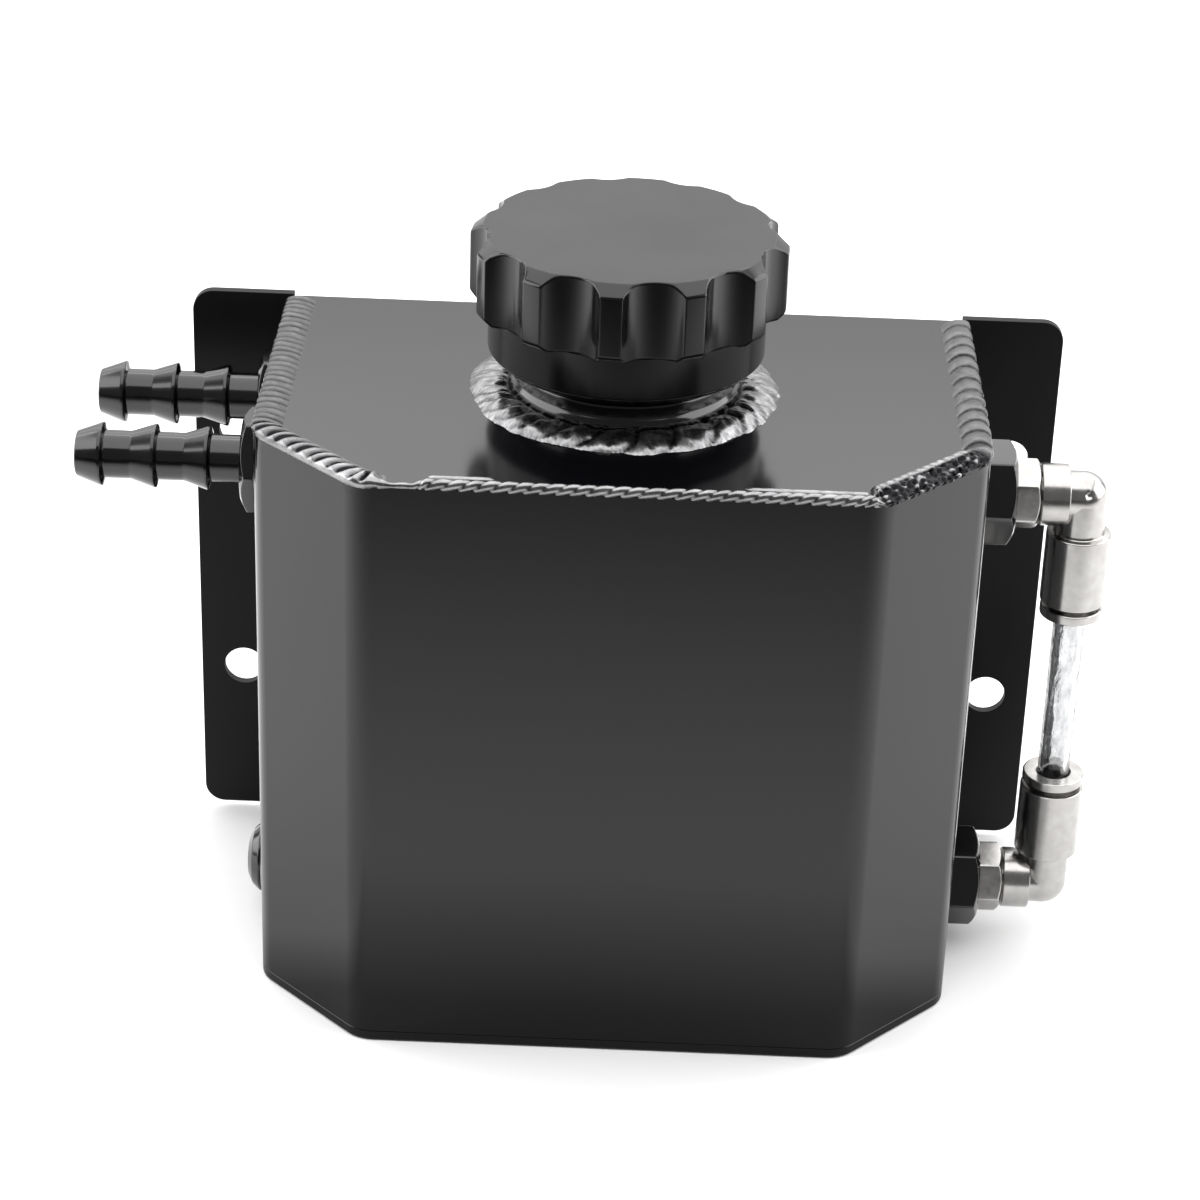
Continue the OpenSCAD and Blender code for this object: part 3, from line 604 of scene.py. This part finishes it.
def seam_bead():
    """The bead along the top seam from the left wall round the front to the right wall.

    Plain at both ends, with crescents round the left cut, then a low edge bead, a rope in front with two
    raised lips, and a rough ledge round the right cut.
    """
    rng = random.Random(7)
    step, lead, wide, coarse, fine, end_reach = 0.28, 6, 5, 2.6, 1.1, 1.4
    side, cut, front = ENDS[0] + 2, ENDS[3], ENDS[3] + 8
    front_end, ledge_end = ENDS[4] + 2.5, ENDS[6] + 1

    def pitch(x):
        return float(stops(
            x, (side - 2, 2.3), (side, 2.7), (cut - 1, 2.7), (cut + 1, 2.8), (front_end - 1, 2.8),
            (front_end + 1, 1.9), (ledge_end - 1, 1.9), (ledge_end + 3, 4.8)))

    marks, depths = ripple_steps(PATH_LEN + 20, pitch, 0.14, rng)
    on_cut = (marks > side) & (marks < cut)
    depths[on_cut] = np.where(np.arange(on_cut.sum()) % 2, 0.4, 1.0)

    run = np.linspace(0, PATH_LEN, int(PATH_LEN / step))
    edge = stops(run, (cut, 0), (cut + 3, 1), (front - 1, 1), (front + 1, 0))
    rope = stops(run, (front - 1, 0), (front + 1, 1), (front_end - 1, 1), (front_end + 1, 0))
    lip = stops(run, (front, 0), (front + 2, 1), (front + 12, 1), (front + 14, 0), (front_end - 26, 0),
                (front_end - 22, 1), (front_end - 2, 1), (front_end, 0))
    ledge = stops(run, (front_end - 1, 0), (front_end + 1, 1), (ledge_end - 2, 1), (ledge_end + 3, 0))
    plain = 1 - edge - rope - ledge
    lens = stops(run, (side - 3, 0), (side + 2, 1), (cut - 2, 1), (cut + 1, 0))
    flat = stops(run, (side - 6, 0.75), (side, 1))
    slant = -3.0 * rope - 0.3 * plain - 1.5 * lens
    bow = stops(run, (side, 0.7), (cut, 0.7), (front_end, 0.4), (ledge_end, 1.0), (ledge_end + 3, 2.6))
    depth = stops(run, (side - 2, 0.22), (side + 1, 1.1), (cut - 1, 1.1), (cut + 2, 0.05),
                  (front - 2, 0.05), (front, 0.36), (front_end, 0.36), (front_end + 2, 0.3),
                  (ledge_end, 0.3), (ledge_end + 3, 0.5))
    # Darkens the bead's colour toward both ends, added to its painted shade
    dullness = stops(run, (side - 2, 0.38), (side, 0.3), (cut, 0), (front_end, 0), (ledge_end, 0.12),
                     (ledge_end + 3, 0.36))
    # How strongly painted shade darkens the crevices between puddles
    contrast = 0.3 * plain + 1.2 * lens + 0.2 * rope

    shapes = [refine(points) for points in (BAND, EDGE, ROPE, LIP, LEDGE)]
    across = np.linspace(-1, 1, len(shapes[0]))
    core = np.array([2.4, -0.8])
    rings, painted_darkening = [], []
    for i, x in enumerate(run):
        weights = (plain[i], edge[i], rope[i] * (1 - lip[i]), rope[i] * lip[i], ledge[i])
        section = sum(weight * shape for weight, shape in zip(weights, shapes)) * np.array([1, flat[i]])
        local = x + slant[i] * across + bow[i] * across ** 2
        crest = puddle(marks, depths, local + lead, 0.8 + 0.3 * lens[i])

        # How far the crevices reach across the bead
        crescent = np.exp(-((across - 0.1) / 0.6) ** 4)
        whole = (1 - 0.85 * across ** 4) * (1 - lens[i]) + lens[i] * crescent
        window = whole * (1 - rope[i]) + rope[i] * np.where(across < 0.2, 1.0, 0.12)

        # Lumps, smaller at both toes and on the inner part
        rough = np.array([0.16 * lumps(x, wide * a, 0, coarse)
                          + (0.04 + 0.8 * ledge[i]) * lumps(x, wide * a, 9, fine) for a in across])
        inner, outer = 0.5 - 0.4 * ledge[i], np.clip((1 + across) * 3, 0, 1)
        rough *= np.where(across > 0.45, inner, outer) * (1 - across ** 6)

        height = rough * (1 - 0.6 * rope[i]) - depth[i] * (1 - crest) * window
        # Painted shade over the ledge's outer part, darkest where its lumps are low
        ledge_shade = ledge[i] * np.clip((0.45 - across) / 0.1, 0, 1) * (0.85 - 1.6 * np.clip(rough, 0, 1))
        # Painted shade in the crevices, with the darker ends and the ledge's painted shade
        painted_darkening += list(np.clip((1 - crest) * window * contrast[i] + dullness[i] + ledge_shade, 0, 1))
        points = section + faces_out(section) * height[:, None]
        end = rounded_end(min(x, PATH_LEN - x), end_reach)
        points = core + (points - core) * np.array([0.6 + 0.4 * end, end])
        at, out = plan_point(PATH, float(x))
        rings.append([(at.x - u * out.x, at.y - u * out.y, TOP_Z + z) for u, z in points])
    return *loft(rings, caps=True), painted_darkening


def wall_rim():
    """The folded wall's upper edge, up to the toe of the seam bead."""
    toe, inner = -0.35, 0.9
    section = ((0, -SHEET), (0, toe), (inner, toe), (inner, -SHEET))
    rings = []
    for x in np.linspace(0, PATH_LEN, 240):
        at, out = plan_point(PATH, float(x))
        rings.append([(at.x - u * out.x, at.y - u * out.y, TOP_Z + z) for u, z in section])
    return loft(rings, caps=True)


def neck_bead():
    """The bead round the neck's foot: bold folds in front, fine lines all round."""
    rng = random.Random(11)
    middle_r, noise_r, start, count, lead = 24.5, 24, 2.4, 640, 3
    length = TAU * middle_r

    def pitch(x):
        """Long puddles in front, short ones at the sides and the back."""
        toward_front = max(0.0, -math.sin(x / middle_r + start))
        toward_right = max(0.0, math.cos(x / middle_r + start))
        return 2.8 + 4.2 * toward_front ** 2 + 0.8 * toward_right

    marks, depths = ripple_steps(length + 12, pitch, 0.3, rng)
    lines, faint = ripple_steps(length + 12, lambda x: 0.85, 0.3, rng)
    base = refine([
        (-0.4, -0.8), (-0.1, 0.3), (0.5, 1.25), (1.5, 1.75), (2.8, 1.9), (4.2, 1.78), (5.5, 1.4),
        (6.6, 0.85), (7.4, 0.25), (8.1, -0.5),
    ])
    across = np.linspace(-1, 1, len(base))
    outer_half = np.clip(across, 0, 1)
    normals = faces_out(base)
    rings, painted_darkening = [], []
    for i in range(count):
        t = i / count
        c, sn = math.cos(TAU * t + start), math.sin(TAU * t + start)
        closing = min(1.0, t * 30, (1 - t) * 30)
        lean = 2.6 + 1.8 * lumps(c * noise_r, sn * noise_r, 3, 11)
        local = t * length + lean * across + 1.6 * across ** 2 + lead
        crest = puddle(marks, depths, local, 0.55)
        fine = 1 - puddle(lines, faint, local, 0.8)
        bold = min(1.0, 0.25 + 1.5 * max(0.0, -sn))
        radii = [FLANGE_R + u for u in base[:, 0]]
        rough = np.array([0.3 * lumps(c * r, sn * r, 1, 2.4) + 0.14 * lumps(c * r, sn * r, 7, 1.0)
                          for r in radii])
        spread = 0.9 * lumps(c * noise_r, sn * noise_r, 5, 7) + 0.5 * lumps(c * noise_r, sn * noise_r, 8, 3)
        deep = bold * (1 - crest) * (1 - 0.75 * outer_half ** 3)
        height = rough - (0.6 * deep + 0.14 * fine) * closing
        # Painted shade in the deep folds and the fine lines of the bead
        painted_darkening += list(np.clip((0.5 * deep + 0.25 * fine) * closing, 0, 1))
        points = base + normals * (height * (1 - 0.4 * across ** 6))[:, None]
        points[:, 0] += spread * outer_half ** 1.5 - 0.35
        rings.append([((FLANGE_R + u) * c, (FLANGE_R + u) * sn, z) for u, z in points])
    return *loft(rings, loop=True), painted_darkening


def ear_bead(side):
    """The fillet behind a side wall, from wall to ear; side is -1 on the left and 1 on the right."""
    rng = random.Random(17 + side)
    low, high, leg, pitch, overlap = 6.0, 108.0, 2.0, 2.4, 0.12
    marks, depths = ripple_steps(140, lambda x: pitch, 0.15, rng)
    angles = np.linspace(-overlap, math.pi / 2 + overlap, 15)
    across = np.linspace(-1, 1, len(angles))
    rings = []
    for z in np.linspace(low, high, 340):
        crest = puddle(marks, depths, z + 0.9 * across ** 2, 0.8)
        r = (leg - 0.35 * (1 - crest)) * rounded_end(min(z - low, high - z), 1.5)
        arc = [(a * math.cos(t), -a * math.sin(t)) for a, t in zip(r, angles)]
        points = [(0.0, 0.3), *arc, (-0.3, 0.0)]
        rings.append([(side * (WALL_X + u), PANEL_Y + v, z) for u, v in points])
    return loft(rings, caps=True)


piece("wall_rim", [wall_rim()], "sheet_black", "tank", sharp=30)
piece("top_bead", [seam_bead()], "weld_black", "tank", ["top_seam_weld"], sharp=75)
piece("neck_bead", [neck_bead()], "weld_black", "tank", ["neck_weld"], NECK, sharp=75)
piece("left_ear_bead", [ear_bead(-1)], "weld_black", "tank", ["left_ear_weld"], sharp=75)
piece("right_ear_bead", [ear_bead(1)], "weld_black", "tank", ["right_ear_weld"], sharp=75)


# Neck and cap

def neck_skins():
    """The turned neck with its rounded foot flange, and its thread ridge."""
    root, foot, spigot_r, spigot_low, relief_r = NECK_THREAD_R - 1.0, 1.3, 18.9, -4, 20.2
    body = turned([
        (NECK_BORE_R, spigot_low), (spigot_r, spigot_low), (spigot_r, 0), (FLANGE_R, 0),
        (FLANGE_R, foot), (20.82, 2.1), (20.6, 2.7), (relief_r, 3.2), (relief_r, THREAD_LOW - 0.6),
        (root, THREAD_LOW), (root, NECK_TOP - 1.2), (root - 0.2, NECK_TOP), (NECK_BORE_R, NECK_TOP),
    ], 0.4, 128)
    ridge = helix_ridge(THREAD_LOW + RIDGE_IN, NECK_TOP - 1.3, root, NECK_THREAD_R, 1.75, 0.7, 0.0)
    return [body, ridge]


def cap_outline():
    """Lands and flutes in plan, with the edges between them softly rounded."""
    far = CAP_R - FLUTE_DEPTH + FLUTE_R
    meet = math.acos((far ** 2 + CAP_R ** 2 - FLUTE_R ** 2) / (2 * far * CAP_R))
    reach = math.asin(CAP_R * math.sin(meet) / FLUTE_R)
    land = TAU / FLUTES - 2 * meet
    flute_steps, land_steps, edge = 14, 7, 0.3
    points = []
    for k in range(FLUTES):
        mid = (k + 0.5) * TAU / FLUTES
        axis = Vector((math.cos(mid), math.sin(mid), 0)) * far
        for i in range(flute_steps + 1):
            t = math.pi + mid + reach - 2 * reach * i / flute_steps
            points.append(axis + FLUTE_R * Vector((math.cos(t), math.sin(t), 0)))
        for i in range(1, land_steps):
            t = mid + meet + land * i / land_steps
            points.append(CAP_R * Vector((math.cos(t), math.sin(t), 0)))
    return softened(points, edge, 2, cyclic=True)


def cap_skins():
    """The cap's shell, from the middle of its top round to the middle of its roof, and its thread ridge."""
    outline = cap_outline()
    edge, middle, root, crest_r = 0.5, 0.01, CAP_BORE_R, 19.75
    grip_in = CAP_R - CAP_CHAMFER

    def sized(r, height):
        return [p.normalized() * r + Vector((0, 0, height)) for p in outline]

    def bevel(r):
        return CAP_TOP - max(0.0, r - BEVEL_IN_R) * BEVEL_SLOPE

    def underside(r):
        return GRIP_LOW + max(0.0, r - grip_in)

    def curve(a, b, c, t):
        return (1 - t) ** 2 * a + 2 * t * (1 - t) * b + t * t * c

    def crest(limit):
        """The top face's edge, held inside the broken edge of the lands and flutes."""
        made = []
        for p in outline:
            r = min(p.length - edge, limit)
            made.append(p.normalized() * r + Vector((0, 0, bevel(r))))
        return made

    def rounded(face, side, t):
        """A broken edge between an end face of the grip and its upright wall."""
        made = []
        for p in outline:
            r = p.length
            far = curve(r - edge, r, r, t)
            height = curve(face(r - edge), face(r), face(r) - side * edge, t)
            made.append(p.normalized() * far + Vector((0, 0, height)))
        return made

    rings = [sized(r, CAP_TOP) for r in (middle, 8, 18, 24)]
    rings += [crest(BEVEL_IN_R + step) for step in (-0.3, -0.1, 0.1, 0.3)]
    rings += [rounded(bevel, 1, k / 4) for k in range(5)]
    rings += [rounded(underside, -1, 1 - k / 3) for k in range(4)]
    skirt = softened([
        (SKIRT_R + 0.1, GRIP_LOW), (SKIRT_R, GRIP_LOW), (SKIRT_R, CAP_LOW + CAP_CHAMFER),
        (SKIRT_R - CAP_CHAMFER, CAP_LOW), (root + 0.5, CAP_LOW), (root, CAP_LOW + 0.6),
        (root, SEAL_TOP), (middle, SEAL_TOP),
    ], 0.25)
    rings += [sized(r, h) for r, h in skirt]
    low = CAP_LOW + 1.6
    between = low - THREAD_LOW - RIDGE_IN + THREAD_PITCH / 2
    phase = TAU * between / THREAD_PITCH
    return loft(rings), helix_ridge(low, SEAL_TOP - 2.2, root, crest_r, 1.85, 1.0, phase)


cap_turn = Matrix.Rotation(math.radians(CAP_CLOCKING - 90), 4, "Z")
shell, ridge = cap_skins()
cap_parts = [shell, moved(ridge, cap_turn.inverted())]
piece("threaded_neck", neck_skins(), "turned_black", "tank", ["filler_neck"], NECK, sharp=35)
piece("fluted_cap", cap_parts, "cap_black", "cap", ["cap"], NECK @ cap_turn, sharp=28)


# Hose barbs

def barb_skins():
    """A turned hose barb of three ridges with its shank, and its hexagon."""
    bore_r, shank_r, shank_low, face, neck_r, ridge_r, tip_r = 3.0, 6.5, -10, 1.0, 4.4, 5.85, 4.15
    hex_end, first, pitch, rise, ridges = 3.7, 9.5, 9.7, 4.9, 3
    crest = ridge_r - 0.04
    profile = [(bore_r, shank_low), (shank_r, shank_low), (shank_r, face), (neck_r, face),
               (neck_r, hex_end + 0.6)]
    for i in range(ridges):
        at = first + i * pitch
        profile += [(neck_r, at), (crest, at + 0.3), (crest, at + 0.75)]
        if i < ridges - 1:
            profile.append((neck_r, at + rise))
    end = at + 5.2
    profile += [(tip_r, end), (bore_r, end)]
    nut = hexagon(BLACK_FLATS, face, hex_end, 4.0, math.radians(33.5), BLACK_CORNER_R)
    return [turned(profile, 0.3), nut]


for name, y in zip(("front", "rear"), BARB_YS):
    place = at_left(y, BARB_Z)
    piece(f"{name}_spout", barb_skins(), "turned_black", "tank", [f"{name}_barb"], place, sharp=32)


# Drain plug

def drain_boss():
    """The ring round the drain's hole, with its spigot through the wall."""
    bore_r, spigot_r, rim_r, inner, seat, face = 5.08, 6.8, 8.8, -7, -0.2, 1.6
    return [turned([(bore_r, inner), (spigot_r, inner), (spigot_r, seat), (rim_r, seat), (rim_r, face),
                    (bore_r, face)], 0.3)]


def plug_skins():
    """The plug with its low dome and the hexagon socket in it."""
    socket_flats, socket_deep, middle, shank_r, seat = 5.0, 2.0, 0.01, 5.0, 2.2
    top = seat + 2.8
    socket = hexagon_outline(socket_flats, corner=0.15)
    profile = softened([
        (middle, seat - 9), (4.4, seat - 9), (shank_r, seat - 8.4), (shank_r, seat), (6.8, seat),
        (6.8, seat + 0.5), (5.5, seat + 1.9), (3.6, top), (3.2, top),
    ], 0.3)
    rings = [[p.normalized() * r + Vector((0, 0, h)) for p in socket] for r, h in profile]
    rings += [[p + Vector((0, 0, top - d)) for p in socket] for d in (0.0, 0.1, socket_deep)]
    rings.append([p * middle + Vector((0, 0, seat + 0.6)) for p in socket])
    return [loft(rings)]


DRAIN = at_left(GAUGE_Y, DRAIN_Z)
piece("drain_boss", drain_boss(), "sheet_black", "tank", ["drain_bung"], DRAIN)
piece("drain_screw", plug_skins(), "turned_black", "drain_plug", ["drain_plug"], DRAIN, sharp=32)


# Level gauge

def bung_skins(clocking):
    """The black hexagon against the wall and the spigot that holds it."""
    nut = hexagon(BLACK_FLATS, 0.0, BUNG_END, 5.95, math.radians(clocking), BLACK_CORNER_R)
    spigot = turned([(4.9, -5), (7.5, -5), (7.5, 0.1), (4.9, 0.1)], 0.2)
    return [moved(skin, OUTWARD) for skin in (nut, spigot)]


def stem_skins(clocking):
    """The plated hexagon with the thread behind it and the grooved swivel shank before it."""
    bore, thread_r, shank_r, groove_r, hex_end, end = 2, 4.85, 3.4, 2.6, 11.7, 17.3
    nut = hexagon(12.0, BUNG_END, hex_end, bore, math.radians(clocking), 5.7, 0.15)
    thread = turned([(bore, -0.8), (4.6, -0.8), (thread_r, -0.4), (thread_r, BUNG_END + 0.1),
                     (bore, BUNG_END + 0.1)], 0.1)
    shank = turned([(bore, hex_end - 0.1), (shank_r, hex_end - 0.1), (shank_r, 13.6), (groove_r, 13.6),
                    (groove_r, 15.0), (shank_r, 15.0), (shank_r, end), (bore, end)], 0.08)
    return [moved(skin, OUTWARD) for skin in (nut, thread, shank)]


def ball_skin(radius, dimple):
    """The elbow's round corner, with a small centre-drilled dimple toward the given direction."""
    steps, around, pole, dimple_r, dimple_deep = 40, 96, 0.01, 0.7, 0.5
    rings = []
    for i in range(steps + 1):
        lift = math.pi * (i + pole) / (steps + 2 * pole)
        ring = []
        for j in range(around):
            t = TAU * j / around
            normal = Vector((math.sin(lift) * math.cos(t), math.cos(lift), math.sin(lift) * math.sin(t)))
            point = normal * radius
            if dimple:
                away = (normal - dimple).length * radius
                point -= normal * dimple_deep * max(0.0, 1 - away / dimple_r) ** 0.6
            ring.append(point)
        rings.append(ring)
    return loft(rings)


def elbow_skins(dimple):
    """The push-in elbow: collar and arm along the stem, round corner, then arm and sleeve up the tube."""
    arm_r, sleeve_r, top, tube_r = 4.6, 6.0, 21.5, 3.05
    collar = turned([(3.45, 12.0), (5.8, 12.0), (5.8, 17.2), (4.5, 17.2), (4.5, 16.6), (3.45, 16.6)], 0.4)
    sleeve = turned([
        (tube_r, 8.0), (2.2, 7.6), (2.2, 6.6), (4.5, 6.6), (arm_r, 7.3), (sleeve_r, 7.3), (sleeve_r, top),
        (4.95, top), (4.9, 11.5), (tube_r, 11.5),
    ], 0.3)
    run = spin([(arm_r, 16.9), (arm_r, GAUGE_REACH - 0.6)])
    arm = spin([(arm_r, 0.0), (arm_r, 7.6)])
    corner = ball_skin(arm_r + 0.03, dimple)
    return ([moved(skin, OUTWARD) for skin in (collar, run)]
            + [moved(skin, TUBE_AXIS) for skin in (corner, arm, sleeve)])


def collet_skin():
    """The release ring: a thin tube inside the sleeve and a flange before its mouth."""
    bore_r, tube_r, flange_r, low, flange, end = 3.05, 3.9, 5.8, 16.1, 22.5, 24.4
    section = [(bore_r, low), (tube_r, low), (tube_r, 22.42), (3.98, flange), (flange_r, flange),
               (flange_r, end), (3.35, end), (bore_r, 24.1)]
    return [moved(turned(section, 0.35), TUBE_AXIS)]


LOWER = Matrix.Translation((WALL_X, GAUGE_Y, GAUGE_LOW_Z))
UPPER = Matrix.Translation((WALL_X, GAUGE_Y, GAUGE_HIGH_Z)) @ Matrix.Scale(-1, 4, (0, 0, 1))
DIMPLE = Vector((0.12, -0.9, -0.4)).normalized()
for level, place, bung_turn, stem_turn, dimple in (
        ("lower", LOWER, -22, -18, None), ("upper", UPPER, 26, 5, DIMPLE)):
    for name, skins, slot, body, node in (
            ("boss", bung_skins(bung_turn), "turned_black", "tank", "gauge_bung"),
            ("union", stem_skins(stem_turn), "nickel", "tank", "stem"),
            ("bend", elbow_skins(dimple), "nickel", "tank", "elbow"),
            ("release_ring", collet_skin(), "nickel", f"{level}_collet", "collet")):
        piece(f"{level}_{name}", skins, slot, body, [f"{level}_{node}"], place, sharp=32)

bore_r, tube_r, inside = 2, 3, 8.2
low, high = GAUGE_LOW_Z + inside, GAUGE_HIGH_Z - inside
tube = turned([(bore_r, low), (tube_r, low), (tube_r, high), (bore_r, high)], 0.15, 64)
place = Matrix.Translation((WALL_X + GAUGE_REACH, GAUGE_Y, 0))
piece("clear_tube", [tube], "clear_tube", "tank", ["sight_tube"], place)


# Floor, light and camera

def stage_floor():
    """A pale floor as the camera sees it; in reflections and bounced light it is painted dark toward the
    camera and carries a painted shadow close in front of the tank.
    """
    size, below = 6.0, 0.0002
    corners = [(-size, -size, 0), (size, -size, 0), (size, size, 0), (-size, size, 0)]
    mesh = bpy.data.meshes.new("floor")
    mesh.from_pydata(corners, [], [(0, 1, 2, 3)])
    floor = bpy.data.objects.new("floor", mesh)
    bpy.context.scene.collection.objects.link(floor)
    s = Shader("floor")
    s.set(Specular_IOR_Level=0.2)
    along = s.node("ShaderNodeSeparateXYZ")
    s.link(s.coords.outputs["Object"], along.inputs[0])
    # Painted darkness toward the camera, for reflections and bounced light only
    room = s.spread(along.outputs["Y"], 0, 1, -0.35, -0.11)
    aside = s.node("ShaderNodeMath", operation="ABSOLUTE")
    s.link(along.outputs["X"], aside.inputs[0])
    # Painted shadow close in front of the tank, not beside it
    before = s.spread(along.outputs["Y"], 1, 0.4, -0.1, -0.055)
    beside = s.spread(aside.outputs[0], 0, 1, 0.05, 0.08)
    mirrored = s.combine("MULTIPLY", room, s.combine("MAXIMUM", before, beside))
    # Camera rays see the even pale floor; other rays see the painted shade and shadow
    seen = s.combine("MAXIMUM", mirrored, s.node("ShaderNodeLightPath").outputs["Is Camera Ray"])
    tone = s.blend_colour(seen, (0.03, 0.03, 0.03), (0.88, 0.88, 0.88))
    mesh.materials.append(s.finish(tone, s.spread(s.noise(3.0), 0.7, 0.8)))
    floor.location.z = -below


def softbox(name, at, aim, size, radiance):
    """A flat light of the given radiance, aimed at a point."""
    data = bpy.data.lights.new(name, "AREA")
    data.shape = "RECTANGLE"
    data.size, data.size_y = size
    data.energy = radiance * math.pi * size[0] * size[1]
    light = bpy.data.objects.new(name, data)
    bpy.context.scene.collection.objects.link(light)
    light.location = at
    light.rotation_euler = (Vector(aim) - Vector(at)).to_track_quat("-Z", "Y").to_euler()


def studio():
    """A dim white room with a tall box behind, brighter toward its top, and boxes at both sides and above."""
    world = bpy.data.worlds.new("studio")
    bpy.context.scene.world = world
    world.use_nodes = True
    room = world.node_tree.nodes["Background"]
    room.inputs["Color"].default_value = (1, 1, 1, 1)
    room.inputs["Strength"].default_value = 0.2
    tank, width = (0, 0, 0.06), 2.4
    centre, ahead, up = Vector((0, 0.95, 0.6)), Vector((0, -0.954, -0.301)), Vector((0, -0.301, 0.954))
    strips = (
        (-0.6, -0.15, 0.9), (-0.15, -0.11, 1.1), (-0.11, -0.07, 1.4), (-0.07, -0.03, 1.8),
        (-0.03, 0.6, 2.15),
    )
    for i, (low, high, radiance) in enumerate(strips):
        at = centre + up * (low + high) / 2
        softbox(f"back_box_{i}", at, at + ahead, (width, high - low), radiance)
    softbox("left_box", (-0.8, 0.05, 0.4), tank, (0.9, 0.7), 3.8)
    softbox("right_box", (0.8, 0.05, 0.4), tank, (0.9, 0.7), 3.8)
    softbox("top_box", (0.0, 0.05, 1.3), tank, (2.0, 2.0), 2.4)


def photo_camera():
    """Stands where a fit to the tank's corners puts the photograph's camera."""
    position = Vector((2.1, -551.7, 359.2)) * MM
    down, yaw, roll = 0.4797, -0.0094, 0.035
    level = Vector((math.sin(yaw), math.cos(yaw), 0))
    right = Vector((math.cos(yaw), -math.sin(yaw), 0))
    ahead = level * math.cos(down) - Vector((0, 0, math.sin(down)))
    up = level * math.sin(down) + Vector((0, 0, math.cos(down)))
    image_x = right * math.cos(roll) + up * math.sin(roll)
    image_y = up * math.cos(roll) - right * math.sin(roll)
    data = bpy.data.cameras.new("camera")
    data.sensor_width = 36.0
    data.lens = 100.0
    data.clip_start, data.clip_end = 0.02, 50.0
    camera = bpy.data.objects.new("camera", data)
    bpy.context.scene.collection.objects.link(camera)
    turn = Matrix((image_x, image_y, -ahead)).transposed()
    camera.matrix_world = Matrix.Translation(position) @ turn.to_4x4()
    bpy.context.scene.camera = camera


stage_floor()
studio()
photo_camera()
bpy.context.scene.view_settings.view_transform = "Standard"

bpy.context.view_layer.update()
